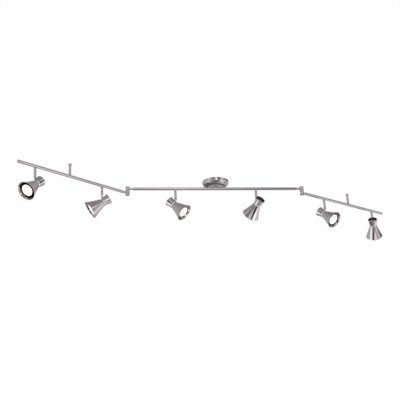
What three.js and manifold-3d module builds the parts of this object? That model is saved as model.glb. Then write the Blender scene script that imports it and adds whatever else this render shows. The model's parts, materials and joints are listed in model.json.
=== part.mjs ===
// A ceiling light with six adjustable spot heads on a bar in three lengths.
// A round canopy carries a fixed centre bar. A straight arm hangs from a swivel knuckle at each
// end of that bar and swings level, and a stand-off post holds it off the ceiling half way along.
// The centre bar and each arm carry two heads. A head turns about its upright stem and tilts about
// a screw at the stem's foot.
//
// Units are millimetres and +Z is up. The origin is the centre of the canopy on the ceiling plane,
// so the light hangs below z = 0. +X runs along the centre bar.
import * as THREE from "three";
import { mergeVertices } from "three/addons/utils/BufferGeometryUtils.js";
import Module from "manifold-3d";

const wasm = await Module();
wasm.setup();

// ---- Driving dimensions ----
const GAP = 0.3; // between pieces that touch
const BAR_SPAN = 800; // knuckle axis to knuckle axis
const ARM_LENGTH = 571; // knuckle axis to the arm's tip
const BAR_DROP = 35; // ceiling to the centre bar's axis
const TUBE_RADIUS = 6.35;
const TUBE_WALL = 1;
const LEFT_SWING = 180 + 39.6; // heading of each arm, in degrees from +X towards +Y
const RIGHT_SWING = 31.6;
const CENTRE_HEAD_AT = 185; // canopy axis to each centre head's stem
const NEAR_HEAD_AT = 146; // along an arm, from its knuckle axis
const POST_AT = 318;
const FAR_HEAD_AT = 489;

const CANOPY_RADIUS = 60;
const CANOPY_DEPTH = 26;
const CANOPY_WALL = 9; // height of its straight side wall
const CANOPY_FACE_RADIUS = 30;
const SHEET = 1.2; // wall of every spun shell

const BARREL_RADIUS = 9.2;
const BARREL_HEIGHT = 20;
const BARREL_GAP = 0.4;
const NECK_LENGTH = 16; // plain neck between a barrel and its tube

const STEM_RADIUS = 5.4;
const STEM_DROP = 52; // tube axis to the tilt screw's axis
const BOSS_RADIUS = 6;
const BOSS_REACH = 8.5; // tube axis to the boss's flat end

const AXIS_OFFSET = 23; // tilt screw's axis to the head's own axis
const WAIST_AHEAD = 9; // the waist lies this far in front of the tilt screw
const WAIST_RADIUS = 17;
const RING_HALF_WIDTH = 3;
const CAP_LENGTH = 30; // waist to the rear end
const CAP_RADIUS = 22;
const CAP_RECESS = 9; // depth of the cup in its rear end
const SHADE_LENGTH = 67; // waist to the rim
const RIM_RADIUS = 39.8;
const LAMP_RECESS = 6; // rim plane to the lamp's face

// Where each head points: heading in degrees from +X, and tilt in degrees below level.
const HEADS = {
  left_outer: { heading: -133, tilt: 41 },
  left_inner: { heading: -177.5, tilt: 33.5 },
  centre_left: { heading: -24, tilt: 43 },
  centre_right: { heading: 115.5, tilt: 31 },
  right_inner: { heading: -47, tilt: 39.5 },
  right_outer: { heading: 71, tilt: 41 },
};

// ---- Worked-out dimensions ----
const BORE_RADIUS = TUBE_RADIUS - TUBE_WALL;
const ARM_DROP = BAR_DROP + BARREL_HEIGHT + BARREL_GAP;
const SPIGOT_RADIUS = BORE_RADIUS - GAP;
const SPIGOT_DEPTH = 12; // how far a neck or plug reaches into its tube
const TUBE_START = BARREL_RADIUS + NECK_LENGTH; // knuckle axis to the near end of a tube

const ROUND = { canopy: 32, shell: 16, rod: 12, small: 8 }; // sides of the round pieces

// ---- Materials ----
const METAL = { color: 0xb4aeb0, roughness: 0.3, metalness: 1 };
const BRIGHT = { color: 0xd2ccce, roughness: 0.18, metalness: 1 };
const ZINC = { color: 0xc8c8c4, roughness: 0.45, metalness: 1 };
const CERAMIC = { color: 0xece6da, roughness: 0.6, metalness: 0 };
const LIT_GLASS = { color: 0xfffbf2, roughness: 0.2, metalness: 0, emissive: 0xfff4e0 };

// ---- Helpers ----
const radians = THREE.MathUtils.degToRad;

function piece(name, geometry, material) {
  const mesh = new THREE.Mesh(geometry, new THREE.MeshStandardMaterial(material));
  mesh.name = name;
  return mesh;
}

// A round body about +Z. The profile is a list of [radius, z] that closes on itself, or that
// starts and ends on the axis.
function turned(profile, sides) {
  const points = profile.map(([radius, z]) => new THREE.Vector2(radius, z));
  if (points[0].x > 0) points.push(points[0].clone());
  if (THREE.ShapeUtils.area(points) < 0) points.reverse();
  return new THREE.LatheGeometry(points, sides).rotateX(Math.PI / 2);
}

const rod = (radius, low, high, sides = ROUND.rod) =>
  turned([[0, low], [radius, low], [radius, high], [0, high]], sides);

const tube = (outer, inner, low, high, sides = ROUND.rod) =>
  turned([[inner, low], [outer, low], [outer, high], [inner, high]], sides);

const alongX = (geometry) => geometry.rotateY(Math.PI / 2);
const alongY = (geometry) => geometry.rotateX(-Math.PI / 2);

function toSolid(geometry) {
  const bare = geometry.index ? geometry.toNonIndexed() : geometry.clone();
  bare.deleteAttribute("normal");
  bare.deleteAttribute("uv");
  const merged = mergeVertices(bare, 1e-4);
  return new wasm.Manifold(
    new wasm.Mesh({
      numProp: 3,
      vertProperties: merged.attributes.position.array,
      triVerts: new Uint32Array(merged.index.array),
    }),
  );
}

function toGeometry(solid) {
  const mesh = solid.getMesh();
  const geometry = new THREE.BufferGeometry();
  geometry.setAttribute("position", new THREE.BufferAttribute(mesh.vertProperties, 3));
  geometry.setIndex(new THREE.BufferAttribute(mesh.triVerts, 1));
  geometry.computeVertexNormals();
  return geometry;
}

// Joins the first list of geometries, then cuts the second list out of them.
function shaped(joined, cuts = []) {
  let solid = toSolid(joined[0]);
  for (const geometry of joined.slice(1)) solid = solid.add(toSolid(geometry));
  for (const geometry of cuts) solid = solid.subtract(toSolid(geometry));
  return toGeometry(solid);
}

// Points of a quarter ellipse from [r0, z0], where it runs along Z, to [r1, z1], where it runs
// along the radius.
function quarter([r0, z0], [r1, z1], steps) {
  return Array.from({ length: steps + 1 }, (_, i) => {
    const turn = (i / steps) * (Math.PI / 2);
    return [r1 + (r0 - r1) * Math.cos(turn), z0 + (z1 - z0) * Math.sin(turn)];
  });
}

// Points of a flare from [r0, z0] to [r1, z1]. Bow is the share of its growth that comes late.
function flare([r0, z0], [r1, z1], bow, steps) {
  return Array.from({ length: steps + 1 }, (_, i) => {
    const t = i / steps;
    return [r0 + (r1 - r0) * ((1 - bow) * t + bow * t * t), z0 + (z1 - z0) * t];
  });
}

// ---- Canopy and what is inside it ----
const NIPPLE_RADIUS = 5;
const STRAP_THICKNESS = 2;

// The canopy: a straight side wall, a deep rounded shoulder and a flat round face.
function canopy() {
  const hole = NIPPLE_RADIUS + GAP;
  const faceInside = SHEET - CANOPY_DEPTH;
  const wallInside = CANOPY_RADIUS - SHEET;
  const outside = [
    [CANOPY_RADIUS, 0],
    ...quarter([CANOPY_RADIUS, -CANOPY_WALL], [CANOPY_FACE_RADIUS, -CANOPY_DEPTH], 5),
    [hole, -CANOPY_DEPTH],
  ];
  const inside = [
    ...quarter([wallInside, -CANOPY_WALL], [CANOPY_FACE_RADIUS, faceInside], 4).reverse(),
    [wallInside, 0],
  ];
  return piece("canopy", turned([...outside, [hole, faceInside], ...inside], ROUND.canopy), METAL);
}

// The strap that screws to the ceiling box: a long plate with a hole for the nipple and a slot
// for a box screw on each side.
function mountingStrap() {
  const halfLength = 50;
  const halfWidth = 9;
  const slot = { from: 30, to: 42, radius: 2.2 };
  const outline = new THREE.Shape([
    new THREE.Vector2(-halfLength, -halfWidth),
    new THREE.Vector2(halfLength, -halfWidth),
    new THREE.Vector2(halfLength, halfWidth),
    new THREE.Vector2(-halfLength, halfWidth),
  ]);
  outline.holes.push(new THREE.Path().absarc(0, 0, NIPPLE_RADIUS + GAP, 0, 2 * Math.PI));
  for (const side of [-1, 1]) {
    const ends = [side * slot.from, side * slot.to].sort((a, b) => a - b);
    const path = new THREE.Path();
    path.absarc(ends[1], 0, slot.radius, -Math.PI / 2, Math.PI / 2);
    path.absarc(ends[0], 0, slot.radius, Math.PI / 2, (3 * Math.PI) / 2);
    outline.holes.push(path);
  }
  const plate = new THREE.ExtrudeGeometry(outline, {
    depth: STRAP_THICKNESS,
    bevelEnabled: false,
    curveSegments: 8,
  });
  return piece("mounting_strap", plate.translate(0, 0, -STRAP_THICKNESS), ZINC);
}

// The hollow threaded tube that hangs the bar from the strap, and the nut that locks it.
function nipple() {
  const top = 0;
  const bottom = TUBE_RADIUS + GAP - BAR_DROP;
  return piece("threaded_nipple", tube(NIPPLE_RADIUS, 3.5, bottom, top), ZINC);
}

function nippleNut() {
  const acrossCorners = 19.6;
  const height = 5;
  const high = -STRAP_THICKNESS - GAP;
  const hexagon = rod(acrossCorners / 2, high - height, high, 6);
  const bore = rod(NIPPLE_RADIUS + GAP, high - 2 * height, high + height);
  return piece("nipple_nut", shaped([hexagon], [bore]), ZINC);
}

// The saddle between the canopy's face and the bar. Its cheeks come half way down the bar.
function barSaddle() {
  const radius = 10;
  const body = rod(radius, -BAR_DROP, -CANOPY_DEPTH - GAP, ROUND.shell);
  const bar = alongX(rod(TUBE_RADIUS + GAP, -2 * radius, 2 * radius)).translate(0, 0, -BAR_DROP);
  const bore = rod(NIPPLE_RADIUS + GAP, -BAR_DROP, 0);
  return piece("bar_saddle", shaped([body], [bar, bore]), METAL);
}

// ---- Tubes, knuckles and posts ----
const BOSS_BORE = 3.3; // takes the spigot of a stem or a post

// A tube along +X between two distances from its knuckle axis. Each station is a distance along
// it with a boss, below the tube for a stem or above it for a post.
function bossedTube(name, from, to, stations) {
  const bosses = [];
  const bores = [alongX(rod(BORE_RADIUS, from - 1, to + 1))];
  for (const { at, side } of stations) {
    const ends = [side * (BORE_RADIUS - 1), side * BOSS_REACH].sort((a, b) => a - b);
    const past = [side * (BORE_RADIUS - 2), side * (BOSS_REACH + 1)].sort((a, b) => a - b);
    bosses.push(rod(BOSS_RADIUS, ...ends).translate(at, 0, 0));
    bores.push(rod(BOSS_BORE, ...past).translate(at, 0, 0));
  }
  return piece(name, shaped([alongX(rod(TUBE_RADIUS, from, to)), ...bosses], bores), METAL);
}

function barrelBody(low, high) {
  const chamfer = 0.8;
  return turned(
    [
      [0, low],
      [BARREL_RADIUS - chamfer, low],
      [BARREL_RADIUS, low + chamfer],
      [BARREL_RADIUS, high - chamfer],
      [BARREL_RADIUS - chamfer, high],
      [0, high],
    ],
    ROUND.shell,
  );
}

const PIVOT_RADIUS = 5; // hollow pivot that turns in the lower barrel
const PIVOT_WALL = 1.6;
const PIVOT_CLEARANCE = 0.4;
const BARREL_FLOOR = 2.4;

// Upper barrel of a knuckle, about its own centre, with its neck along +X and the hollow pivot
// below it.
function upperBarrel(name) {
  const half = BARREL_HEIGHT / 2;
  const pivotFoot = -half - BARREL_GAP - BARREL_HEIGHT + BARREL_FLOOR + PIVOT_CLEARANCE;
  const wireway = PIVOT_RADIUS - PIVOT_WALL;
  const joined = [
    barrelBody(-half, half),
    alongX(rod(SPIGOT_RADIUS, 1, TUBE_START + SPIGOT_DEPTH)),
    rod(PIVOT_RADIUS, pivotFoot, 0, ROUND.shell),
  ];
  const cuts = [
    rod(wireway, pivotFoot - 1, half - BARREL_FLOOR),
    alongX(rod(wireway, 0, TUBE_START + SPIGOT_DEPTH + 1)),
  ];
  return piece(name, shaped(joined, cuts), METAL);
}

// Lower barrel, about its own centre, with its neck along +X and a blind bore for the pivot.
function lowerBarrel(name) {
  const half = BARREL_HEIGHT / 2;
  const wireway = PIVOT_RADIUS - PIVOT_WALL;
  const neckStart = PIVOT_RADIUS + PIVOT_CLEARANCE;
  const joined = [
    barrelBody(-half, half),
    alongX(rod(SPIGOT_RADIUS, neckStart + 1, TUBE_START + SPIGOT_DEPTH)),
  ];
  const cuts = [
    rod(PIVOT_RADIUS + PIVOT_CLEARANCE, BARREL_FLOOR - half, half + 1, ROUND.shell),
    alongX(rod(wireway, 0, TUBE_START + SPIGOT_DEPTH + 1)),
  ];
  return piece(name, shaped(joined, cuts), METAL);
}

// The plug that closes an arm's outer end.
function endPlug(name) {
  const face = ARM_LENGTH;
  const flange = 2.5;
  const plug = turned(
    [
      [0, face - flange - SPIGOT_DEPTH],
      [SPIGOT_RADIUS, face - flange - SPIGOT_DEPTH],
      [SPIGOT_RADIUS, face - flange],
      [TUBE_RADIUS, face - flange],
      [TUBE_RADIUS, face - 0.6],
      [TUBE_RADIUS - 0.6, face],
      [0, face],
    ],
    ROUND.rod,
  );
  return piece(name, alongX(plug), METAL);
}

const POST_RADIUS = 5.3;
const FOOT_RADIUS = 7.2;
const FOOT_HEIGHT = 9;
const POST_SOCKET = 5; // how far a post reaches into its foot

// A stand-off post above an arm's axis, and the foot that meets the ceiling.
function postRod(name) {
  const top = ARM_DROP - FOOT_HEIGHT + POST_SOCKET;
  const spigotFoot = BORE_RADIUS - 0.5;
  const profile = [
    [0, spigotFoot],
    [BOSS_BORE - GAP, spigotFoot],
    [BOSS_BORE - GAP, BOSS_REACH + GAP],
    [POST_RADIUS, BOSS_REACH + GAP],
    [POST_RADIUS, top],
    [0, top],
  ];
  return piece(name, turned(profile, ROUND.rod), METAL);
}

function postFoot(name) {
  const bore = POST_RADIUS + GAP;
  const low = ARM_DROP - FOOT_HEIGHT;
  const profile = [
    [bore, low],
    [FOOT_RADIUS - 1, low],
    [FOOT_RADIUS, low + 3],
    [FOOT_RADIUS, ARM_DROP],
    [0, ARM_DROP],
    [0, low + POST_SOCKET + GAP],
    [bore, low + POST_SOCKET + GAP],
  ];
  return piece(name, turned([...profile.slice(5), ...profile.slice(0, 5)], ROUND.rod), METAL);
}

// ---- Spot heads ----
const LAP_RADIUS = 4.4; // round end of the stem's tongue and of the cap's lug
const LAP_HALF = 4.2; // half thickness of the lapped joint
const SCREW_RADIUS = 1.5;

// One half of the lapped tilt joint: a plate with a round end, in the XZ plane about the screw's
// axis, reaching along Z to the given height.
function lapHalf(side, reach) {
  const near = side * (GAP / 2);
  const far = side * LAP_HALF;
  const [low, high] = [near, far].sort((a, b) => a - b);
  const plate = new THREE.BoxGeometry(2 * LAP_RADIUS, high - low, Math.abs(reach));
  plate.translate(0, (low + high) / 2, reach / 2);
  return [alongY(rod(LAP_RADIUS, low, high)), plate];
}

const screwHole = () => alongY(rod(SCREW_RADIUS + GAP, -2 * LAP_HALF, 2 * LAP_HALF, ROUND.small));

// Stem about its own axis, with z = 0 on the tube's axis: a spigot in the boss, a plain rod and
// a tongue at its foot.
function stem(name) {
  const shoulder = 5.5 - STEM_DROP;
  const profile = [
    [0, shoulder],
    [STEM_RADIUS, shoulder],
    [STEM_RADIUS, -BOSS_REACH - GAP],
    [BOSS_BORE - GAP, -BOSS_REACH - GAP],
    [BOSS_BORE - GAP, -BORE_RADIUS + 0.5],
    [0, -BORE_RADIUS + 0.5],
  ];
  const tongue = lapHalf(1, 6).map((geometry) => geometry.translate(0, 0, -STEM_DROP));
  const hole = screwHole().translate(0, 0, -STEM_DROP);
  return piece(name, shaped([turned(profile, ROUND.rod), ...tongue], [hole]), METAL);
}

// The screw through the lapped joint, with a slotted round head and a riveted tail.
function tiltScrew(name) {
  const head = { radius: 3.2, height: 1.8 };
  const tail = { radius: 2.6, height: 1.4 };
  const seat = LAP_HALF + GAP;
  const profile = [
    [0, -seat - tail.height],
    [tail.radius, -seat - tail.height],
    [tail.radius, -seat],
    [SCREW_RADIUS, -seat],
    [SCREW_RADIUS, seat],
    [head.radius, seat],
    [head.radius - 0.6, seat + head.height],
    [0, seat + head.height],
  ];
  const slot = new THREE.BoxGeometry(8, 1.6, 0.9).translate(0, seat + head.height, 0);
  return piece(name, shaped([alongY(turned(profile, ROUND.small))], [slot]), ZINC);
}

// The rest of a head is turned about the head's own axis, with 0 at the waist and the front along
// +Z. This lays it along +X below the tilt screw.
const onHead = (geometry) => alongX(geometry).translate(WAIST_AHEAD, 0, -AXIS_OFFSET);

// The rear cap: a spun cup that flares backwards, with a deep recess in its end and the lug for the
// screw.
function rearCap(name) {
  const front = -RING_HALF_WIDTH - GAP;
  const plate = CAP_RECESS - CAP_LENGTH;
  const mouth = CAP_RADIUS - 1.2;
  const floorRadius = mouth - 2.4;
  const outside = flare([WAIST_RADIUS + 0.3, front], [CAP_RADIUS, -CAP_LENGTH], 0.3, 3);
  const inside = flare([WAIST_RADIUS + 0.3 - SHEET, front], [floorRadius, plate + SHEET], 0.3, 2);
  const profile = [
    [0, plate],
    [floorRadius, plate],
    [mouth, -CAP_LENGTH],
    ...outside.reverse(),
    ...inside,
    [0, plate + SHEET],
  ];
  const lug = lapHalf(-1, WAIST_RADIUS + 0.5 - AXIS_OFFSET);
  const geometry = shaped([onHead(turned(profile, ROUND.shell)), ...lug], [screwHole()]);
  return piece(name, geometry, METAL);
}

function neckRing(name) {
  const bore = WAIST_RADIUS - 2.4;
  const profile = [
    [bore, -RING_HALF_WIDTH],
    [WAIST_RADIUS, -RING_HALF_WIDTH],
    [WAIST_RADIUS + 0.7, 0],
    [WAIST_RADIUS, RING_HALF_WIDTH],
    [bore, RING_HALF_WIDTH],
  ];
  return piece(name, onHead(turned(profile, ROUND.shell)), BRIGHT);
}

// The shade: an open bell, a little trumpet shaped, with a plain rim.
function shade(name) {
  const back = RING_HALF_WIDTH + GAP;
  const outside = flare([WAIST_RADIUS, back], [RIM_RADIUS, SHADE_LENGTH], 0.2, 3);
  const inside = flare([WAIST_RADIUS - SHEET, back], [RIM_RADIUS - SHEET, SHADE_LENGTH], 0.2, 3);
  return piece(name, onHead(turned([...outside, ...inside.reverse()], ROUND.shell)), METAL);
}

const SOCKET_FRONT = 8;
const PIN_SPACING = 10;
const PIN_RADIUS = 1.6;

// The lamp holder: a ceramic puck through the waist, with a hole for each of the lamp's pins.
function lampSocket(name) {
  const profile = [
    [0, -18],
    [10, -18],
    [13.4, -15],
    [13.4, SOCKET_FRONT],
    [0, SOCKET_FRONT],
  ];
  const holes = [-1, 1].map((side) =>
    rod(PIN_RADIUS + 0.5, SOCKET_FRONT - 7, SOCKET_FRONT + 1, ROUND.small).translate(
      0,
      (side * PIN_SPACING) / 2,
      0,
    ),
  );
  return piece(name, onHead(shaped([turned(profile, ROUND.rod)], holes)), CERAMIC);
}

// The reflector lamp: two pins, a narrow base, a flaring bowl and a flat front glass.
function lamp(name) {
  const face = SHADE_LENGTH - LAMP_RECESS;
  const back = SOCKET_FRONT + GAP;
  const bowl = quarter([25, face - 5], [12, back + 12], 2).reverse();
  const profile = [
    [0, back],
    [12, back],
    ...bowl,
    [25.4, face - 4],
    [25.4, face - 1],
    [23.5, face],
    [0, face],
  ];
  const pins = [-1, 1].map((side) =>
    rod(PIN_RADIUS, back - 6, back + 2, ROUND.small).translate(0, (side * PIN_SPACING) / 2, 0),
  );
  return piece(name, onHead(shaped([turned(profile, ROUND.rod), ...pins])), LIT_GLASS);
}

// A whole head hung from a tube's axis at z = 0 of the group that holds it. Turned by the
// carrier's own heading, so that the head's heading stays the one in HEADS.
function spotHead(name, carrierHeading) {
  const { heading, tilt } = HEADS[name];
  const turning = new THREE.Group();
  turning.rotation.z = radians(heading - carrierHeading);
  const tilting = new THREE.Group();
  tilting.position.z = -STEM_DROP;
  tilting.rotation.y = radians(tilt);
  tilting.add(
    tiltScrew(name + "_tilt_screw"),
    rearCap(name + "_rear_cap"),
    neckRing(name + "_neck_ring"),
    shade(name + "_shade"),
    lampSocket(name + "_lamp_socket"),
    lamp(name + "_lamp"),
  );
  turning.add(stem(name + "_stem"), tilting);
  return turning;
}

// ---- Assembly ----
function at(object, x, y, z) {
  object.position.set(x, y, z);
  return object;
}

function centreBar() {
  const half = BAR_SPAN / 2 - TUBE_START;
  const stations = [-CENTRE_HEAD_AT, CENTRE_HEAD_AT].map((x) => ({ at: x, side: -1 }));
  return bossedTube("centre_bar", -half, half, stations);
}

function arm(side, heading) {
  const group = new THREE.Group();
  const stations = [
    { at: NEAR_HEAD_AT, side: -1 },
    { at: POST_AT, side: 1 },
    { at: FAR_HEAD_AT, side: -1 },
  ];
  const tubeEnd = ARM_LENGTH - 2.5 - GAP;
  group.add(
    lowerBarrel(side + "_lower_barrel"),
    bossedTube(side + "_arm_tube", TUBE_START, tubeEnd, stations),
    endPlug(side + "_end_plug"),
    at(postRod(side + "_post_rod"), POST_AT, 0, 0),
    at(postFoot(side + "_post_foot"), POST_AT, 0, 0),
    at(spotHead(side + "_inner", heading), NEAR_HEAD_AT, 0, 0),
    at(spotHead(side + "_outer", heading), FAR_HEAD_AT, 0, 0),
  );
  group.rotation.z = radians(heading);
  return group;
}

const light = new THREE.Group();
light.add(canopy(), mountingStrap(), nipple(), nippleNut(), barSaddle());
light.add(at(centreBar(), 0, 0, -BAR_DROP));
light.add(at(spotHead("centre_left", 0), -CENTRE_HEAD_AT, 0, -BAR_DROP));
light.add(at(spotHead("centre_right", 0), CENTRE_HEAD_AT, 0, -BAR_DROP));

for (const [side, end, heading] of [
  ["left", -1, LEFT_SWING],
  ["right", 1, RIGHT_SWING],
]) {
  const barrel = at(upperBarrel(side + "_upper_barrel"), (end * BAR_SPAN) / 2, 0, -BAR_DROP);
  if (end > 0) barrel.rotation.z = Math.PI; // its neck faces the centre
  light.add(barrel, at(arm(side, heading), (end * BAR_SPAN) / 2, 0, -ARM_DROP));
}

export default light;
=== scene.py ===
import json
import math

import bmesh
import bpy
from mathutils import Matrix, Vector


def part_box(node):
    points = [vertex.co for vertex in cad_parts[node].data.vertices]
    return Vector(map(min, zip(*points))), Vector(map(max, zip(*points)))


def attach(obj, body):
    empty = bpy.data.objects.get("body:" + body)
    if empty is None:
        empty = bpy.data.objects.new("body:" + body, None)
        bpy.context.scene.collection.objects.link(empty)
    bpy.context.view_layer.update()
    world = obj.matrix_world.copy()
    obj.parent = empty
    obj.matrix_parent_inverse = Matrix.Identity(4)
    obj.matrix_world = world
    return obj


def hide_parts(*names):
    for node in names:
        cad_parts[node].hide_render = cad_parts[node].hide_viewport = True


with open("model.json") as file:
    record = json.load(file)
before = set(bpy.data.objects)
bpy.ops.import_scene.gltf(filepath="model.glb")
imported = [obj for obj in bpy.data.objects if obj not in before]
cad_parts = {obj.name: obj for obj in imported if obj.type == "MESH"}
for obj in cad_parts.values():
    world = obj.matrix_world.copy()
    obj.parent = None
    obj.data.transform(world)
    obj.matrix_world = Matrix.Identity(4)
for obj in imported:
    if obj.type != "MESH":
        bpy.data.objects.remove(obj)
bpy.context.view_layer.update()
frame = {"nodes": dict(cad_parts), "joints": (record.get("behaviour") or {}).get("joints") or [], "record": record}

# ---- Sizes shared with the CAD part ----
GAP = 0.0003  # clearance between pieces that sit in or on one another
SHEET = 0.0012  # thickness of the spun and pressed metal
TUBE_RADIUS = 0.00635
BORE_RADIUS = 0.00535
SPIGOT_RADIUS = 0.00505
SPIGOT_DEPTH = 0.012  # how far a neck or plug reaches into its tube
PLUG_FLANGE = 0.0025
BAR_DROP = 0.035
CANOPY_RADIUS = 0.060
CANOPY_WALL = 0.009  # height of its straight side wall
CANOPY_FACE_RADIUS = 0.030
CANOPY_DEPTH = 0.026
NIPPLE_RADIUS = 0.005
NIPPLE_BORE = 0.0035
SADDLE_RADIUS = 0.010
BARREL_RADIUS = 0.0092
BARREL_HEIGHT = 0.020
BARREL_GAP = 0.0004
BARREL_FLOOR = 0.0024  # thickness of its closed end
PIVOT_RADIUS = 0.005
PIVOT_HOLE = 0.0054
WIREWAY_RADIUS = 0.0034
TUBE_START = 0.0252  # knuckle axis to the near end of a tube
ARM_LENGTH = 0.571  # knuckle axis to the arm's tip
BOSS_RADIUS = 0.006
BOSS_REACH = 0.0085
BOSS_BORE = 0.0033
PEG_RADIUS = 0.003  # the thin end of a stem or post, inside its boss
PEG_SHORT = 0.0005  # how far it stops inside the tube's bore
STEM_RADIUS = 0.0054
STEM_DROP = 0.052
STEM_ABOVE_SCREW = 0.0055
POST_RADIUS = 0.0053
FOOT_RADIUS = 0.0072
FOOT_HEIGHT = 0.009
FOOT_SOCKET = 0.005  # how far the post goes into its foot
AXIS_OFFSET = 0.023  # tilt screw's axis to the head's own axis
WAIST_AHEAD = 0.009
WAIST_RADIUS = 0.017
RING_HALF_WIDTH = 0.003
CAP_LENGTH = 0.030
CAP_RADIUS = 0.022
CAP_RECESS = 0.009  # depth of the cup in its rear end
CAP_DRAFT = 0.0024  # how much narrower that cup is at its floor
CAP_STEP = 0.0003  # the cap's front over the waist
CAP_BOW = 0.3  # how much of its growth comes late, towards the rear
SHADE_LENGTH = 0.067
SHADE_BOW = 0.2  # the same, towards the rim
RIM_RADIUS = 0.0398
LAMP_RECESS = 0.006  # rim plane to the lamp's face
LAMP_RADIUS = 0.0254
LAMP_BASE_RADIUS = 0.012
GLASS_RADIUS = 0.0228
SOCKET_FRONT = 0.008
SOCKET_BACK = 0.018
SOCKET_RADIUS = 0.0134
PIN_OFFSET = 0.005  # lamp's axis to each of its two pins
PIN_LENGTH = 0.006
PIN_RADIUS = 0.0016
LAP_RADIUS = 0.0044
LAP_HALF = 0.0042
SCREW_RADIUS = 0.0015
HIGHEST_TILT = -15  # degrees below level at a head's lowest joint value
PAST = 0.001  # how far a cutting shape goes past the face that it cuts

SIDES = {"canopy": 128, "head": 96, "rod": 48, "small": 32}
SHARP_DEGREES = 32  # edges that turn further than this stay sharp

UP = Vector((0, 0, 1))
HEADS = ["left_outer", "left_inner", "centre_left", "centre_right", "right_inner", "right_outer"]
JOINTS = {joint["name"]: joint for joint in frame["joints"]}


# ---- Materials ----
def new_material(name, colour, roughness, metallic, **sockets):
    """A Principled material and its node tree, with the constants set on the shader's sockets."""
    material = bpy.data.materials.new(name)
    material.use_nodes = True
    shader = material.node_tree.nodes["Principled BSDF"]
    shader.inputs["Base Color"].default_value = (*colour, 1)
    shader.inputs["Roughness"].default_value = roughness
    shader.inputs["Metallic"].default_value = metallic
    for socket, value in sockets.items():
        shader.inputs[socket].default_value = value
    return material, material.node_tree, shader


def math_node(tree, operation, first, second=None):
    node = tree.nodes.new("ShaderNodeMath")
    node.operation = operation
    for socket, value in zip(node.inputs, (first, second)):
        if isinstance(value, bpy.types.NodeSocket):
            tree.links.new(value, socket)
        elif value is not None:
            socket.default_value = value
    return node.outputs[0]


def ramp(tree, value, low, high, start=0.0, end=1.0):
    """The value from start to end, mapped to low to high."""
    node = tree.nodes.new("ShaderNodeMapRange")
    tree.links.new(value, node.inputs["Value"])
    node.inputs["From Min"].default_value = start
    node.inputs["From Max"].default_value = end
    node.inputs["To Min"].default_value = low
    node.inputs["To Max"].default_value = high
    return node.outputs["Result"]


def object_place(tree):
    """A point's coordinates on its own piece, in metres."""
    return tree.nodes.new("ShaderNodeTexCoord").outputs["Object"]


def noise(tree, vector, scale, detail=3.0, roughness=0.5):
    node = tree.nodes.new("ShaderNodeTexNoise")
    tree.links.new(vector, node.inputs["Vector"])
    node.inputs["Scale"].default_value = scale
    node.inputs["Detail"].default_value = detail
    node.inputs["Roughness"].default_value = roughness
    return node.outputs["Fac"]


def crystals(tree, scale):
    """The outputs of a pattern of small cells on the piece."""
    cells = tree.nodes.new("ShaderNodeTexVoronoi")
    cells.inputs["Scale"].default_value = scale
    tree.links.new(object_place(tree), cells.inputs["Vector"])
    return cells.outputs


def brushed_vector(tree, along, across):
    """Coordinates for brushing on a turned surface. U of its UV map runs along the profile in
    metres and V once round, so a turn of V is wound on a circle and has no seam."""
    uv = tree.nodes.new("ShaderNodeUVMap")
    uv.uv_map = "turned"
    split = tree.nodes.new("ShaderNodeSeparateXYZ")
    tree.links.new(uv.outputs["UV"], split.inputs["Vector"])
    turn = math_node(tree, "MULTIPLY", split.outputs["Y"], 2 * math.pi)
    join = tree.nodes.new("ShaderNodeCombineXYZ")
    tree.links.new(math_node(tree, "MULTIPLY", split.outputs["X"], along), join.inputs["X"])
    for axis, operation in (("Y", "COSINE"), ("Z", "SINE")):
        wound = math_node(tree, "MULTIPLY", math_node(tree, operation, turn), across)
        tree.links.new(wound, join.inputs[axis])
    return join.outputs["Vector"]


def bump(tree, height, strength, distance):
    node = tree.nodes.new("ShaderNodeBump")
    tree.links.new(height, node.inputs["Height"])
    node.inputs["Strength"].default_value = strength
    node.inputs["Distance"].default_value = distance
    return node.outputs["Normal"]


def mix_value(tree, factor, first, second):
    node = tree.nodes.new("ShaderNodeMix")
    tree.links.new(factor, node.inputs["Factor"])
    for name, value in (("A", first), ("B", second)):
        if isinstance(value, bpy.types.NodeSocket):
            tree.links.new(value, node.inputs[name])
        else:
            node.inputs[name].default_value = value
    return node.outputs["Result"]


def mix_colour(tree, factor, first, second):
    node = tree.nodes.new("ShaderNodeMix")
    node.data_type = "RGBA"
    tree.links.new(factor, node.inputs["Factor"])
    node.inputs["A"].default_value = (*first, 1)
    node.inputs["B"].default_value = (*second, 1)
    return node.outputs["Result"]


def metal(name, colour, roughness, along, across, anisotropy=0.0, grain=0.05):
    """Brushed metal: a fine grain in its roughness and surface, and slow cloudy changes of tone
    from handling. Along is the grain's fineness along the profile, across the same round it."""
    material, tree, shader = new_material(name, colour, roughness, 1.0, Anisotropic=anisotropy)
    grain_lines = noise(tree, brushed_vector(tree, along, across), 1.0, 4.0, 0.6)
    cloud = noise(tree, object_place(tree), 34.0)
    darker = tuple(channel * 0.9 for channel in colour)
    lighter = tuple(min(1.0, channel * 1.06) for channel in colour)
    tree.links.new(mix_colour(tree, cloud, darker, lighter), shader.inputs["Base Color"])
    both = math_node(tree, "ADD", ramp(tree, grain_lines, -grain, grain, 0.3, 0.7),
                     ramp(tree, cloud, roughness - 0.02, roughness + 0.03, 0.3, 0.7))
    tree.links.new(both, shader.inputs["Roughness"])
    tree.links.new(bump(tree, grain_lines, 0.25, 0.00004), shader.inputs["Normal"])
    if anisotropy:
        tangent = tree.nodes.new("ShaderNodeTangent")
        tangent.direction_type = "UV_MAP"
        tangent.uv_map = "turned"
        tree.links.new(tangent.outputs["Tangent"], shader.inputs["Tangent"])
    return material


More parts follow.
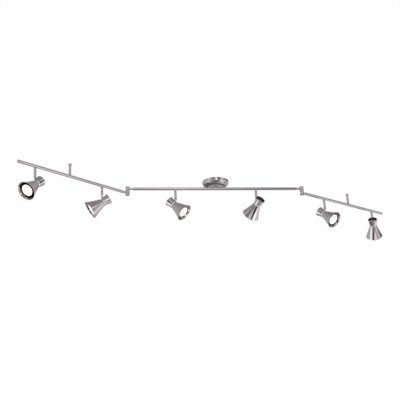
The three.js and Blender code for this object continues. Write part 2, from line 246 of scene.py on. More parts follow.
def ceramic():
    material, tree, shader = new_material("ceramic", (0.86, 0.82, 0.74), 0.55, 0.0)
    speckle = noise(tree, object_place(tree), 900.0, 4.0, 0.7)
    tree.links.new(mix_colour(tree, speckle, (0.80, 0.75, 0.66), (0.93, 0.90, 0.84)),
                   shader.inputs["Base Color"])
    tree.links.new(bump(tree, speckle, 0.3, 0.0001), shader.inputs["Normal"])
    return material


def lamp_body():
    """Aluminised glass of the reflector, seen from outside."""
    # The reflector's metal is darkened to grey, far below aluminium: painted shade for the dim inside of the shade
    # that the lamp's rim shows.
    material, tree, shader = new_material("lamp_body", (0.42, 0.4, 0.4), 0.25, 1.0)
    cloud = noise(tree, object_place(tree), 120.0)
    tree.links.new(ramp(tree, cloud, 0.2, 0.34), shader.inputs["Roughness"])
    tree.links.new(mix_colour(tree, cloud, (0.36, 0.34, 0.34), (0.48, 0.46, 0.46)),
                   shader.inputs["Base Color"])
    return material


def lamp_glass():
    """The lit front glass: dimpled all over, and so bright that it shows as plain white."""
    material, tree, shader = new_material("lamp_glass", (1.0, 0.98, 0.93), 0.15, 0.0)
    dimples = crystals(tree, 420.0)["Distance"]
    tree.links.new(bump(tree, dimples, 0.4, 0.0004), shader.inputs["Normal"])
    tree.links.new(mix_colour(tree, dimples, (1.0, 0.97, 0.90), (1.0, 0.99, 0.96)),
                   shader.inputs["Emission Color"])
    shader.inputs["Emission Strength"].default_value = 1.15
    return material


def strap_zinc():
    """Zinc plate on pressed steel: a spangle of small crystals, each its own tone."""
    material, tree, shader = new_material("strap_zinc", (0.62, 0.62, 0.60), 0.4, 1.0)
    split = tree.nodes.new("ShaderNodeSeparateColor")
    tree.links.new(crystals(tree, 260.0)["Color"], split.inputs["Color"])
    tree.links.new(mix_colour(tree, split.outputs["Red"], (0.5, 0.5, 0.49), (0.72, 0.72, 0.70)),
                   shader.inputs["Base Color"])
    tree.links.new(ramp(tree, split.outputs["Green"], 0.3, 0.5), shader.inputs["Roughness"])
    return material


NICKEL = (0.62, 0.585, 0.60)
MATERIALS = {
    "spun": metal("spun_nickel", NICKEL, 0.08, 2200.0, 0.6, 0.5, 0.02),
    "tube": metal("tube_nickel", NICKEL, 0.2, 25.0, 30.0, grain=0.03),
    # Nickel lightened to near white, so that the neck ring shows as a bright line: a painted highlight.
    "ring": metal("ring_nickel", (0.95, 0.92, 0.93), 0.16, 2600.0, 0.5, 0.3, 0.03),
    "inside": metal("shade_inside", (0.66, 0.59, 0.585), 0.07, 1800.0, 0.6, 0.4, 0.02),
    # Near-black metal for the wall of the rear cap's cup: painted shade, for the dark edge round the rear end.
    "recess": metal("cap_recess", (0.1, 0.085, 0.08), 0.2, 1800.0, 0.6, 0.4, 0.04),
    "zinc": metal("zinc", (0.66, 0.66, 0.63), 0.38, 700.0, 4.0),
    "strap": strap_zinc(),
    "ceramic": ceramic(),
    "lamp_body": lamp_body(),
    "lamp_glass": lamp_glass(),
}


# ---- Mesh tools ----
def rounded(corners, closed, steps=4):
    """Profile points from corners of (radius, height, rounding). Each corner with a rounding is
    replaced by a curve that starts and ends that far from it."""
    points = []
    count = len(corners)
    for i, (radius, height, rounding) in enumerate(corners):
        here = Vector((radius, height))
        if not rounding or (not closed and i in (0, count - 1)):
            points.append(here)
            continue
        start, end = (
            here + (Vector(corners[j % count][:2]) - here).normalized() * rounding
            for j in (i - 1, i + 1)
        )
        for step in range(steps + 1):
            t = step / steps
            points.append(start * (1 - t) ** 2 + here * 2 * t * (1 - t) + end * t**2)
    return points


def flare(start, end, bow, steps):
    """Points from start to end, each (radius, height). Bow is the share of growth that is late."""
    (start_radius, start_height), (end_radius, end_height) = start, end
    points = []
    for i in range(steps + 1):
        t = i / steps
        grown = (1 - bow) * t + bow * t * t
        radius = start_radius + (end_radius - start_radius) * grown
        points.append((radius, start_height + (end_height - start_height) * t, 0))
    return points


def with_rounding(point, rounding):
    radius, height, _ = point
    return radius, height, rounding


def turned_mesh(points, closed, sides):
    """A round mesh about +Z, with the UV map that the brushed materials read. A closed profile
    makes a ring; an open one starts and ends on the axis."""
    mesh = bmesh.new()
    uv = mesh.loops.layers.uv.new("turned")
    rings = []
    on_axis = 1e-7
    for point in points:
        if point.x < on_axis:
            rings.append([mesh.verts.new((0, 0, point.y))] * (sides + 1))
            continue
        ring = [
            mesh.verts.new((point.x * math.cos(turn), point.x * math.sin(turn), point.y))
            for turn in (2 * math.pi * i / sides for i in range(sides))
        ]
        rings.append(ring + ring[:1])
    lengths = [0.0]
    order = list(range(len(points))) + ([0] if closed else [])
    for a, b in zip(order, order[1:]):
        lengths.append(lengths[-1] + (points[b] - points[a]).length)
    for k, (a, b) in enumerate(zip(order, order[1:])):
        for i in range(sides):
            corners = [(rings[a][i], k, i), (rings[a][i + 1], k, i + 1),
                       (rings[b][i + 1], k + 1, i + 1), (rings[b][i], k + 1, i)]
            kept = [c for j, c in enumerate(corners) if c[0] is not corners[j - 1][0]]
            face = mesh.faces.new([c[0] for c in kept])
            for loop, (_, along, around) in zip(face.loops, kept):
                loop[uv].uv = (lengths[along], around / sides)
    bmesh.ops.recalc_face_normals(mesh, faces=mesh.faces)
    return mesh


def box_mesh(low, high):
    mesh = bmesh.new()
    mesh.loops.layers.uv.new("turned")
    size = [b - a for a, b in zip(low, high)]
    centre = [(b + a) / 2 for a, b in zip(low, high)]
    bmesh.ops.create_cube(mesh, size=1.0,
                          matrix=Matrix.Translation(centre) @ Matrix.Diagonal((*size, 1)))
    return mesh


def to_object(name, mesh, matrix=Matrix.Identity(4), materials=("spun",)):
    mesh.transform(matrix)
    data = bpy.data.meshes.new(name)
    mesh.to_mesh(data)
    mesh.free()
    for key in materials:
        data.materials.append(MATERIALS[key])
    thing = bpy.data.objects.new(name, data)
    bpy.context.scene.collection.objects.link(thing)
    return thing


def rod(low, high, radius, sides="rod", rounding=0.0):
    """A plain rod about +Z, as a mesh."""
    corners = [(0, low, 0), (radius, low, rounding), (radius, high, rounding), (0, high, 0)]
    return turned_mesh(rounded(corners, False), False, SIDES[sides])


def joined(name, parts, cuts=(), materials=("spun",), matrix=Matrix.Identity(4)):
    """One object from meshes: the parts joined, and the cuts taken out of them."""
    things = [to_object(f"{name}_{i}", mesh) for i, mesh in enumerate([*parts, *cuts])]
    base = things[0]
    for i, other in enumerate(things[1:], 1):
        modifier = base.modifiers.new("boolean", "BOOLEAN")
        modifier.object = other
        modifier.operation = "UNION" if i < len(parts) else "DIFFERENCE"
        modifier.solver = "EXACT"
    evaluated = base.evaluated_get(bpy.context.evaluated_depsgraph_get())
    data = bpy.data.meshes.new_from_object(evaluated)
    data.transform(matrix)
    data.name = name
    data.materials.clear()
    for key in materials:
        data.materials.append(MATERIALS[key])
    for thing in things:
        bpy.data.meshes.remove(thing.data)
    result = bpy.data.objects.new(name, data)
    bpy.context.scene.collection.objects.link(result)
    return result


BODY_OF = {
    node: body
    for body, nodes in frame["record"]["behaviour"]["bodies"].items()
    for node in nodes
}


def finish_piece(thing, node):
    """Shades the piece, and lets it stand for its CAD node on that node's body."""
    thing.data.shade_smooth()
    thing.data.set_sharp_from_angle(angle=math.radians(SHARP_DEGREES))
    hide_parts(node)
    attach(thing, BODY_OF[node])


ALONG_X = Matrix.Rotation(math.pi / 2, 4, "Y")
ALONG_Y = Matrix.Rotation(-math.pi / 2, 4, "X")


def turned_to(mesh, matrix):
    mesh.transform(matrix)
    return mesh


# ---- Spot heads ----
class Head:
    """Where a head is, from its two joints."""

    def __init__(self, name):
        turn = JOINTS[name + "_turn"]
        tilt = JOINTS[name + "_tilt"]
        across = Vector(tilt["axis"])
        heading = across.cross(UP)
        below_level = math.radians(HIGHEST_TILT - tilt["range_deg"][0])
        forward = heading * math.cos(below_level) - UP * math.sin(below_level)
        up = forward.cross(across).normalized()
        screw = Vector(tilt["pos_m"])
        self.name = name
        # Local +X forward, +Y across, +Z up, about the tilt screw.
        self.tilted = frame_of(forward, across, up, screw)
        # Local +X along the heading, about the stem's axis at the tube's axis.
        self.upright = frame_of(heading, across, UP, Vector(turn["pos_m"]))
        # Turned pieces have +Z along the head's axis and 0 at its waist.
        self.waist = self.tilted @ Matrix.Translation((WAIST_AHEAD, 0, -AXIS_OFFSET)) @ ALONG_X


def frame_of(x, y, z, origin):
    matrix = Matrix((x, y, z)).transposed().to_4x4()
    matrix.translation = origin
    return matrix


def paint(data, key, wanted):
    """Gives the faces that wanted says the material of that key."""
    index = [material.name for material in data.materials].index(MATERIALS[key].name)
    for polygon in data.polygons:
        if wanted(polygon):
            polygon.material_index = index


def shade(head):
    """A thin flared bell, open at both ends, with a rolled rim."""
    back = RING_HALF_WIDTH + GAP
    steps = 26
    outside, inside = (
        flare((WAIST_RADIUS - inset, back), (RIM_RADIUS - inset, SHADE_LENGTH), SHADE_BOW, steps)
        for inset in (0, SHEET)
    )
    rim = 0.00045  # rounds off nearly all of the sheet's thickness
    outside[0] = with_rounding(outside[0], 0.0004)
    outside[-1] = with_rounding(outside[-1], rim)
    inside[-1] = with_rounding(inside[-1], rim)
    mesh = turned_mesh(rounded([*outside, *reversed(inside)], True), True, SIDES["head"])
    thing = to_object(head.name + "_bell", mesh, materials=("spun", "inside"))

    def faces_in(polygon):
        away = Vector((polygon.center.x, polygon.center.y, 0))
        return polygon.normal.dot(away.normalized()) < -0.3

    paint(thing.data, "inside", faces_in)
    thing.data.transform(head.waist)
    finish_piece(thing, head.name + "_shade")


def neck_ring(head):
    bore = WAIST_RADIUS - 0.0024
    edge = WAIST_RADIUS - 0.0004
    top = WAIST_RADIUS + 0.0007
    crown = 0.0015  # half width of its flattish top
    corners = [
        (bore, -RING_HALF_WIDTH, 0.0002),
        (edge, -RING_HALF_WIDTH, 0.0005),
        (top, -crown, 0.0013),
        (top, crown, 0.0013),
        (edge, RING_HALF_WIDTH, 0.0005),
        (bore, RING_HALF_WIDTH, 0.0002),
    ]
    mesh = turned_mesh(rounded(corners, True), True, SIDES["head"])
    # Its material is the lightened nickel, a painted highlight.
    thing = to_object(head.name + "_collar", mesh, head.waist, ("ring",))
    finish_piece(thing, head.name + "_neck_ring")


def lap_half(side, reach):
    """One half of the lapped joint, about the screw's axis along Y: a round end and a plate."""
    near, far = sorted((side * GAP / 2, side * LAP_HALF))
    disc = turned_to(rod(near, far, LAP_RADIUS, "rod", 0.0003), ALONG_Y)
    low, high = sorted((0.0, reach))
    plate = box_mesh((-LAP_RADIUS, near, low), (LAP_RADIUS, far, high))
    return [disc, plate]


def screw_hole():
    reach = 0.009  # well past both halves of the lap
    return turned_to(rod(-reach, reach, SCREW_RADIUS + GAP, "small"), ALONG_Y)


def rear_cap(head):
    """The hollow cap behind the waist: a cup in its rear end, and half of the lapped joint."""
    front = -RING_HALF_WIDTH - GAP
    plate = CAP_RECESS - CAP_LENGTH
    waist = WAIST_RADIUS + CAP_STEP
    mouth = CAP_RADIUS - SHEET
    floor = mouth - CAP_DRAFT
    outside = flare((waist, front), (CAP_RADIUS, -CAP_LENGTH), CAP_BOW, 16)
    inside = flare((waist - SHEET, front), (floor, plate + SHEET), CAP_BOW, 8)
    outside[0] = with_rounding(outside[0], 0.0004)
    outside[-1] = with_rounding(outside[-1], 0.0005)
    corners = [
        (0, plate, 0),
        (floor, plate, 0.0012),
        (mouth, -CAP_LENGTH, 0.0004),
        *reversed(outside),
        *inside,
        (0, plate + SHEET, 0),
    ]
    body = turned_mesh(rounded(corners, False), False, SIDES["head"])
    place = Matrix.Translation((WAIST_AHEAD, 0, -AXIS_OFFSET)) @ ALONG_X
    lug_reach = WAIST_RADIUS + 0.0005 - AXIS_OFFSET  # down into the cap's own metal
    lug = lap_half(-1, lug_reach)
    thing = joined(head.name + "_cap", [turned_to(body, place), *lug], [screw_hole()],
                   ("spun", "inside", "recess"))

    def outward(polygon):
        """From the head's axis to the face."""
        return Vector((0, polygon.center.y, polygon.center.z + AXIS_OFFSET))

    def in_recess(polygon):
        away = outward(polygon)
        behind = polygon.center.x - WAIST_AHEAD < plate + 0.0002
        looks_out = polygon.normal.dot(away.normalized()) > 0.5
        return behind and away.length < mouth - 0.0001 and not looks_out

    # The wall of the cup gets the near-black metal: painted shade in the recess.
    def on_shaded_recess_wall(polygon):
        return in_recess(polygon) and outward(polygon).length > floor - 0.001

    paint(thing.data, "inside", in_recess)
    paint(thing.data, "recess", on_shaded_recess_wall)
    thing.data.transform(head.tilted)
    finish_piece(thing, head.name + "_rear_cap")


def tilt_screw(head):
    """A slotted screw through the lapped joint, held by a small collar at its far end."""
    seat = LAP_HALF + GAP
    tail = {"radius": 0.0026, "height": 0.0014}
    cap = {"radius": 0.0032, "height": 0.0018}
    corners = [
        (0, -seat - tail["height"], 0),
        (tail["radius"], -seat - tail["height"], 0.0006),
        (tail["radius"], -seat, 0),
        (SCREW_RADIUS, -seat, 0),
        (SCREW_RADIUS, seat, 0),
        (cap["radius"], seat, 0.0001),
        (cap["radius"], seat + cap["height"], 0.0012),
        (0, seat + cap["height"], 0),
    ]
    body = turned_to(turned_mesh(rounded(corners, False), False, SIDES["small"]), ALONG_Y)
    top = seat + cap["height"]
    depth = 0.0008
    half_width = 0.00045
    half_length = 0.004
    slot = box_mesh((-half_length, top - depth, -half_width),
                    (half_length, top + PAST, half_width))
    thing = joined(head.name + "_slotted_screw", [body], [slot], ("zinc",), head.tilted)
    finish_piece(thing, head.name + "_tilt_screw")


def pair(make):
    """Two of a mesh, one on each side of the lamp's axis."""
    return [turned_to(make(), Matrix.Translation((0, side * PIN_OFFSET, 0))) for side in (-1, 1)]


def lamp_socket(head):
    """A ceramic holder with a groove round it and two holes for the lamp's pins."""
    base = SOCKET_RADIUS - 0.0034
    groove = 0.001  # half its width
    corners = [
        (0, -SOCKET_BACK, 0),
        (base, -SOCKET_BACK, 0.0006),
        (SOCKET_RADIUS, 0.003 - SOCKET_BACK, 0.0006),
        (SOCKET_RADIUS, -groove, 0.0004),
        (SOCKET_RADIUS - 0.0006, 0, 0.0003),
        (SOCKET_RADIUS, groove, 0.0004),
        (SOCKET_RADIUS, SOCKET_FRONT, 0.0006),
        (0, SOCKET_FRONT, 0),
    ]
    body = turned_mesh(rounded(corners, False), False, SIDES["rod"])
    bottom = SOCKET_FRONT - PIN_LENGTH - 0.001
    holes = pair(lambda: rod(bottom, SOCKET_FRONT + PAST, PIN_RADIUS + 0.0005, "small"))
    thing = joined(head.name + "_holder", [body], holes, ("ceramic",), head.waist)
    finish_piece(thing, head.name + "_lamp_socket")


def lamp(head):
    """A reflector lamp: a base with two pins, a bowl, and a slightly domed front glass."""
    face = SHADE_LENGTH - LAMP_RECESS
    back = SOCKET_FRONT + GAP
    bowl_front = face - 0.005
    bowl_depth = face - 0.017 - back
    bowl_growth = 0.013
    bowl = []
    steps = 12
    for step in range(steps + 1):
        turn = math.pi / 2 * (1 - step / steps)
        radius = LAMP_BASE_RADIUS + bowl_growth * math.cos(turn)
        bowl.append((radius, bowl_front - bowl_depth * math.sin(turn), 0))
    corners = [
        (0, back, 0),
        (LAMP_BASE_RADIUS, back, 0.0008),
        *bowl,
        (LAMP_RADIUS, face - 0.004, 0.0004),
        (LAMP_RADIUS, face - 0.001, 0.0006),
        (GLASS_RADIUS + 0.001, face - 0.0004, 0.0005),
        (GLASS_RADIUS, face - 0.001, 0.0003),
        (0.018, face - 0.0003, 0.002),
        (0.010, face, 0.003),
        (0, face, 0),
    ]
    body = turned_mesh(rounded(corners, False), False, SIDES["head"])
    pins = pair(lambda: rod(back - PIN_LENGTH, back + 0.002, PIN_RADIUS, "small", 0.0004))
    thing = joined(head.name + "_reflector_lamp", [body, *pins], (), ("lamp_body", "lamp_glass"))

    def is_glass(polygon):
        away = math.hypot(polygon.center.x, polygon.center.y)
        return polygon.center.z > face - 0.002 and away < GLASS_RADIUS + 0.0004

    paint(thing.data, "lamp_glass", is_glass)
    thing.data.transform(head.waist)
    finish_piece(thing, head.name + "_lamp")


def stem(head):
    """A hanger from its boss on the tube to its half of the lapped joint."""
    foot = STEM_ABOVE_SCREW - STEM_DROP
    neck = -BOSS_REACH - GAP
    top = PEG_SHORT - BORE_RADIUS
    corners = [
        (0, foot, 0),
        (STEM_RADIUS, foot, 0.0006),
        (STEM_RADIUS, neck, 0.0005),
        (PEG_RADIUS, neck, 0),
        (PEG_RADIUS, top, 0.0003),
        (0, top, 0),
    ]
    body = turned_mesh(rounded(corners, False), False, SIDES["rod"])
    drop = Matrix.Translation((0, 0, -STEM_DROP))
    tongue = [turned_to(mesh, drop) for mesh in lap_half(1, STEM_ABOVE_SCREW + 0.0005)]
    thing = joined(head.name + "_hanger", [body, *tongue], [turned_to(screw_hole(), drop)],
                   ("tube",), head.upright)
    finish_piece(thing, head.name + "_stem")


# ---- Ceiling group ----
def canopy():
    """A straight side wall, a deep rounded shoulder and a flat round face."""
    hole = NIPPLE_RADIUS + GAP

    def shoulder(radius, depth, steps):
        points = []
        for step in range(steps + 1):
            turn = math.pi / 2 * step / steps
            points.append((CANOPY_FACE_RADIUS + (radius - CANOPY_FACE_RADIUS) * math.cos(turn),
                           -CANOPY_WALL - (depth - CANOPY_WALL) * math.sin(turn), 0))
        return points

    depth_inside = CANOPY_DEPTH - SHEET
    corners = [
        (CANOPY_RADIUS, 0, 0.0004),
        *shoulder(CANOPY_RADIUS, CANOPY_DEPTH, 32),
        (hole, -CANOPY_DEPTH, 0.0002),
        (hole, -depth_inside, 0.0002),
        *reversed(shoulder(CANOPY_RADIUS - SHEET, depth_inside, 16)),
        (CANOPY_RADIUS - SHEET, 0, 0.0004),
    ]
    mesh = turned_mesh(rounded(corners, True), True, SIDES["canopy"])
    thing = to_object("ceiling_canopy", mesh)
    finish_piece(thing, "canopy")


def nipple():
    """A threaded tube. Its thread is cut as a row of rings."""
    low, high = (corner.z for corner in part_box("threaded_nipple"))
    pitch = 0.0009
    plain = 0.001  # length without thread at each end
    root = NIPPLE_RADIUS - 0.0005
    rounding = 0.0002
    thread = []
    for i in range(int((high - low - 2 * plain) / pitch)):
        height = low + plain + i * pitch
        thread += [(root, height, 0), (NIPPLE_RADIUS, height + pitch / 2, 0)]
    corners = [
        (NIPPLE_BORE, low, rounding),
        (root, low, rounding),
        *thread,
        (root, high, rounding),
        (NIPPLE_BORE, high, rounding),
    ]
    mesh = turned_mesh(rounded(corners, True), True, SIDES["rod"])
    thing = to_object("nipple", mesh, materials=("zinc",))
    finish_piece(thing, "threaded_nipple")


def bar_saddle():
    """The short hub between the canopy and the bar, hollowed to sit on the bar."""
    body = rod(-BAR_DROP, -CANOPY_DEPTH - GAP, SADDLE_RADIUS, "rod", 0.0006)
    reach = 2 * SADDLE_RADIUS
    at_bar = Matrix.Translation((0, 0, -BAR_DROP)) @ ALONG_X
    bar = turned_to(rod(-reach, reach, TUBE_RADIUS + GAP), at_bar)
    bore = rod(-BAR_DROP - PAST, 0, NIPPLE_RADIUS + GAP)
    thing = joined("hub_saddle", [body], [bar, bore])
    finish_piece(thing, "bar_saddle")


# ---- Tubes, knuckles and posts ----
def along_from(origin, direction):
    """A frame with +X along a level direction and +Z up."""
    level = Vector(direction).normalized()
    return frame_of(level, UP.cross(level), UP, Vector(origin))


def bossed_tube(name, node, place, start, end, stations):
    """A tube along +X of its place, with a boss at each (distance, side) station."""
    parts = [turned_to(rod(start, end, TUBE_RADIUS, "rod", 0.0004), ALONG_X)]
    cuts = [turned_to(rod(start - PAST, end + PAST, BORE_RADIUS), ALONG_X)]
    for distance, side in stations:
        shift = Matrix.Translation((distance, 0, 0))
        low, high = sorted((side * (BORE_RADIUS - PAST), side * BOSS_REACH))
        parts.append(turned_to(rod(low, high, BOSS_RADIUS, "rod", 0.0005), shift))
        low, high = sorted((side * (BORE_RADIUS - 2 * PAST), side * (BOSS_REACH + PAST)))
        cuts.append(turned_to(rod(low, high, BOSS_BORE, "small"), shift))
    thing = joined(name, parts, cuts, ("tube",), place)
    finish_piece(thing, node)
    return thing


def barrel(name, node, place, upper):
    """Half of a knuckle, with the neck that its tube sits on. The upper one has a hollow pivot
    that goes down into the lower one."""
    half = BARREL_HEIGHT / 2
    neck_start = 0.001 if upper else PIVOT_HOLE + 0.001
    neck_end = TUBE_START + SPIGOT_DEPTH
    parts = [
        rod(-half, half, BARREL_RADIUS, "rod", 0.0009),
        turned_to(rod(neck_start, neck_end, SPIGOT_RADIUS), ALONG_X),
    ]
    wireway = turned_to(rod(0, neck_end + PAST, WIREWAY_RADIUS), ALONG_X)
    if upper:
        foot = -half - BARREL_GAP - BARREL_HEIGHT + BARREL_FLOOR + 0.0004
        parts.append(rod(foot, 0, PIVOT_RADIUS))
        cuts = [rod(foot - PAST, half - BARREL_FLOOR, WIREWAY_RADIUS), wireway]
    else:
        cuts = [rod(BARREL_FLOOR - half, half + PAST, PIVOT_HOLE), wireway]
    thing = joined(name, parts, cuts, ("tube",), place)
    finish_piece(thing, node)


def end_plug(side, place):
    shoulder = ARM_LENGTH - PLUG_FLANGE
    corners = [
        (0, shoulder - SPIGOT_DEPTH, 0),
        (SPIGOT_RADIUS, shoulder - SPIGOT_DEPTH, 0.0005),
        (SPIGOT_RADIUS, shoulder, 0),
        (TUBE_RADIUS, shoulder, 0.0003),
        (TUBE_RADIUS, ARM_LENGTH, 0.0008),
        (0, ARM_LENGTH, 0),
    ]
    mesh = turned_mesh(rounded(corners, False), False, SIDES["rod"])
    thing = to_object(side + "_tip", mesh, place @ ALONG_X, ("tube",))
    finish_piece(thing, side + "_end_plug")


def post(side, place, distance, drop):
    """A stand-off post and its foot. Drop is the ceiling's height over the tube's axis."""
    low = drop - FOOT_HEIGHT
    top = low + FOOT_SOCKET
    peg = BORE_RADIUS - PEG_SHORT
    corners = [
        (0, peg, 0),
        (PEG_RADIUS, peg, 0.0003),
        (PEG_RADIUS, BOSS_REACH + GAP, 0),
        (POST_RADIUS, BOSS_REACH + GAP, 0.0005),
        (POST_RADIUS, top, 0.0004),
        (0, top, 0),
    ]
    spot = place @ Matrix.Translation((distance, 0, 0))
    mesh = turned_mesh(rounded(corners, False), False, SIDES["rod"])
    thing = to_object(side + "_standoff", mesh, spot, ("tube",))
    finish_piece(thing, side + "_post_rod")
    bore = POST_RADIUS + GAP
    corners = [
        (0, top + GAP, 0),
        (bore, top + GAP, 0),
        (bore, low, 0.0002),
        (FOOT_RADIUS - 0.001, low, 0.0004),
        (FOOT_RADIUS, low + 0.003, 0.001),
        (FOOT_RADIUS, drop, 0.0005),
        (0, drop, 0),
    ]
    mesh = turned_mesh(rounded(corners, False), False, SIDES["rod"])
    thing = to_object(side + "_ceiling_foot", mesh, spot, ("tube",))
    finish_piece(thing, side + "_post_foot")


def heading_of(knuckle, head):
    """Level direction from a knuckle to a head's stem, and the distance between them."""
    offset = Vector(JOINTS[head + "_turn"]["pos_m"]) - knuckle
    return offset.normalized(), offset.length


def arm(side):
    knuckle = Vector(JOINTS[side + "_arm_swing"]["pos_m"])
    direction, far = heading_of(knuckle, side + "_outer")
    near = heading_of(knuckle, side + "_inner")[1]
    place = along_from(knuckle, direction)
    foot = sum(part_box(side + "_post_foot"), Vector()) / 2
    post_at = (Vector((foot.x, foot.y, knuckle.z)) - knuckle).length
    barrel(side + "_knuckle_lower", side + "_lower_barrel", place, False)
    tube_end = ARM_LENGTH - PLUG_FLANGE - GAP
    bossed_tube(side + "_arm", side + "_arm_tube", place, TUBE_START, tube_end,
                [(near, -1), (post_at, 1), (far, -1)])
    end_plug(side, place)
    post(side, place, post_at, -knuckle.z)
    inward = Vector((-1 if side == "right" else 1, 0, 0))
    above = Vector((knuckle.x, 0, -BAR_DROP))
    barrel(side + "_knuckle_upper", side + "_upper_barrel", along_from(above, inward), True)


def centre_bar():
    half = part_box("centre_bar")[1].x
    at = Vector(JOINTS["centre_right_turn"]["pos_m"]).x
    place = along_from((0, 0, -BAR_DROP), (1, 0, 0))
    bar = bossed_tube("middle_bar", "centre_bar", place, -half, half, [(-at, -1), (at, -1)])
    bar.visible_glossy = False  # so it leaves no dark image in the canopy just above it


def kept_nodes():
    """Flat hardware inside the canopy, whose CAD shape is right: it only gets softer edges."""
    for node in ("mounting_strap", "nipple_nut"):
        thing = frame["nodes"][node]
        thing.data.materials.clear()
        thing.data.materials.append(MATERIALS["strap"])
        modifier = thing.modifiers.new("edges", "BEVEL")
        modifier.width = 0.0003
        modifier.segments = 2
        modifier.angle_limit = math.radians(40)


canopy()
nipple()
bar_saddle()
centre_bar()
kept_nodes()
for side in ("left", "right"):
    arm(side)
for name in HEADS:
    head = Head(name)
    for make in (stem, tilt_screw, rear_cap, neck_ring, shade, lamp_socket, lamp):
        make(head)


# ---- Camera ----
def camera():
    """Looks up at the light from below and to the left of its middle."""
    place = Vector((-0.4719, -3.1465, -1.2428))
    yaw, pitch, roll = (math.radians(degrees) for degrees in (-7.198, 90 + 19.994, -2.6465))
    data = bpy.data.cameras.new("camera")
    data.sensor_width = 36.0
    data.lens = 67.2
    data.clip_end = 60.0
    thing = bpy.data.objects.new("camera", data)
    thing.matrix_world = (
        Matrix.Translation(place)
        @ Matrix.Rotation(yaw, 4, "Z")
        @ Matrix.Rotation(pitch, 4, "X")
        @ Matrix.Rotation(roll, 4, "Z")
    )
    bpy.context.scene.collection.objects.link(thing)
    bpy.context.scene.camera = thing


# ---- Studio ----
# Soft boxes and dark flags round the light. Each is given by its azimuth from the front (-Y)
# towards +X and its elevation, then its half width, half height, roll and softness, all in
# degrees, and its brightness.
SOFT_BOXES = [
    (-176, -41, 30, 24, 0, 7, 0.16),  # dark behind, with a lighter patch the canopy's face shows
    (171, -20, 6, 4, 0, 3, 0.5),
    (142, -46, 8, 26, 0, 5, 0.75),  # right and behind, on the caps of the heads that point away
    (104, -38, 14, 24, 0, 10, 0.95),  # right, tall
    (87, -13, 30, 9, 0, 6, 1.0),
    (65, -43, 16, 8, 0, 6, 1.75),  # right, low and bright
    (-95, -60, 18, 6, 0, 5, 0.8),
    (-87, -25, 22, 13, 0, 8, 1.5),  # left, low and bright
    (-27, -29, 6, 5, 0, 3, 0.9),
    (-29, -9, 5, 6, 0, 3, 0.12),
    (-60, -52, 9, 6, 0, 4, 1.3),
    (43, 4, 8, 13, 0, 4, 1.05),
    (24, 3, 8, 27, 0, 4, 0.17),  # flags beside the front strip
    (-24, 2, 8, 24, 0, 4, 0.17),
    (2, -2, 7, 30, 0, 3, 1.4),  # front strip
    (-66, 23, 9, 5, 0, 4, 1.15),  # high strips that the canopy's wall shows
    (63, 24, 10, 5, 0, 4, 1.4),
    (-31, 25, 5, 4, 0, 4, 0.2),
    (-31, 13, 13, 5, 0, 4, 1.0),
    (73, 12, 15, 6, -42, 3, 0.02),  # narrow flags that stripe the rear caps
    (-45, -8, 15, 7, 45, 4, 0.08),
    (-67, 9, 11, 7, 40, 4, 0.1),
    (106, 18, 8, 6, 0, 4, 0.04),
    (130, 20, 16, 4, 0, 4, 0.2),
    (86, -59, 15, 6, 0, 6, 0.85),
    (37, 49, 9, 6, 0, 6, 0.26),
    (4, -36, 14, 4, 0, 3, 1.25),
    (-43, -39, 12, 5, 0, 3, 0.02),  # low dark gap, in two parts
    (5, -51, 17, 7, 0, 2, 0.0),
]
# Brightness of the rest, by elevation in degrees.
SURROUNDINGS = [(-90, 0.16), (-68, 0.3), (-50, 0.55), (5, 0.6), (25, 0.54), (50, 0.44), (90, 0.32)]


def box_mask(tree, direction, azimuth, elevation, half_width, half_height, roll, softness):
    """1 inside a rectangular soft box as the light sees it, falling to 0 round its edge."""
    turned = (
        Matrix.Rotation(math.radians(azimuth), 3, "Z")
        @ Matrix.Rotation(math.radians(elevation), 3, "X").inverted()
        @ Matrix.Rotation(math.radians(roll), 3, "Y").inverted()
    )
    parts = []
    for axis in (turned.col[0], turned.col[2], -turned.col[1]):
        dot = tree.nodes.new("ShaderNodeVectorMath")
        dot.operation = "DOT_PRODUCT"
        tree.links.new(direction, dot.inputs[0])
        dot.inputs[1].default_value = axis
        parts.append(dot.outputs["Value"])
    sideways = math_node(tree, "ARCTAN2", parts[0], parts[2])
    upwards = math_node(tree, "ARCSINE", parts[1])
    masks = []
    for angle, half in ((sideways, half_width), (upwards, half_height)):
        outer, inner = (math.radians(half + sign * softness / 2) for sign in (1, -1))
        masks.append(ramp(tree, math_node(tree, "ABSOLUTE", angle), 0.0, 1.0, outer, inner))
    return math_node(tree, "MULTIPLY", *masks)


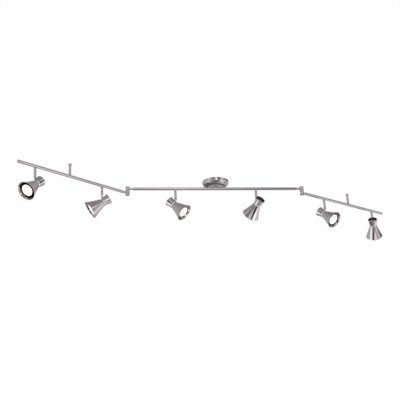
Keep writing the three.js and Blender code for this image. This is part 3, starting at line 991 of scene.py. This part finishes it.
def studio():
    world = bpy.data.worlds.new("studio")
    bpy.context.scene.world = world
    world.use_nodes = True
    tree = world.node_tree
    output = tree.nodes["World Output"]
    backdrop = tree.nodes["Background"]
    backdrop.inputs["Color"].default_value = (1, 1, 1, 1)
    direction = tree.nodes.new("ShaderNodeTexCoord").outputs["Generated"]
    split = tree.nodes.new("ShaderNodeSeparateXYZ")
    tree.links.new(direction, split.inputs["Vector"])
    rise = math_node(tree, "ARCSINE", split.outputs["Z"])
    brightness = SURROUNDINGS[0][1]
    for (low, _), (high, value) in zip(SURROUNDINGS, SURROUNDINGS[1:]):
        share = ramp(tree, rise, 0.0, 1.0, math.radians(low), math.radians(high))
        brightness = mix_value(tree, share, brightness, value)
    for *shape, value in SOFT_BOXES:
        brightness = mix_value(tree, box_mask(tree, direction, *shape), brightness, value)
    light = tree.nodes.new("ShaderNodeBackground")
    tree.links.new(brightness, light.inputs["Strength"])
    light.inputs["Color"].default_value = (1.0, 0.985, 0.99, 1)
    seen = tree.nodes.new("ShaderNodeLightPath")
    choose = tree.nodes.new("ShaderNodeMixShader")
    tree.links.new(seen.outputs["Is Camera Ray"], choose.inputs["Fac"])
    tree.links.new(light.outputs["Background"], choose.inputs[1])
    tree.links.new(backdrop.outputs["Background"], choose.inputs[2])
    tree.links.new(choose.outputs["Shader"], output.inputs["Surface"])
    bpy.context.scene.view_settings.view_transform = "Standard"


def floor():
    half = 8.0
    corners = [(-half, -half, 0), (half, -half, 0), (half, half, 0), (-half, half, 0)]
    data = bpy.data.meshes.new("floor")
    data.from_pydata(corners, [], [(0, 1, 2, 3)])
    glow = {"Emission Color": (1, 1, 1, 1), "Emission Strength": 0.4}
    material, tree, shader = new_material("floor_paint", (0.82, 0.82, 0.81), 0.7, 0.0, **glow)
    cloud = noise(tree, object_place(tree), 3.0)
    tree.links.new(mix_colour(tree, cloud, (0.80, 0.80, 0.79), (0.84, 0.84, 0.83)),
                   shader.inputs["Base Color"])
    data.materials.append(material)
    thing = bpy.data.objects.new("floor", data)
    thing.location.z = -1.9  # below the camera
    thing.visible_glossy = False
    bpy.context.scene.collection.objects.link(thing)


camera()
studio()
floor()
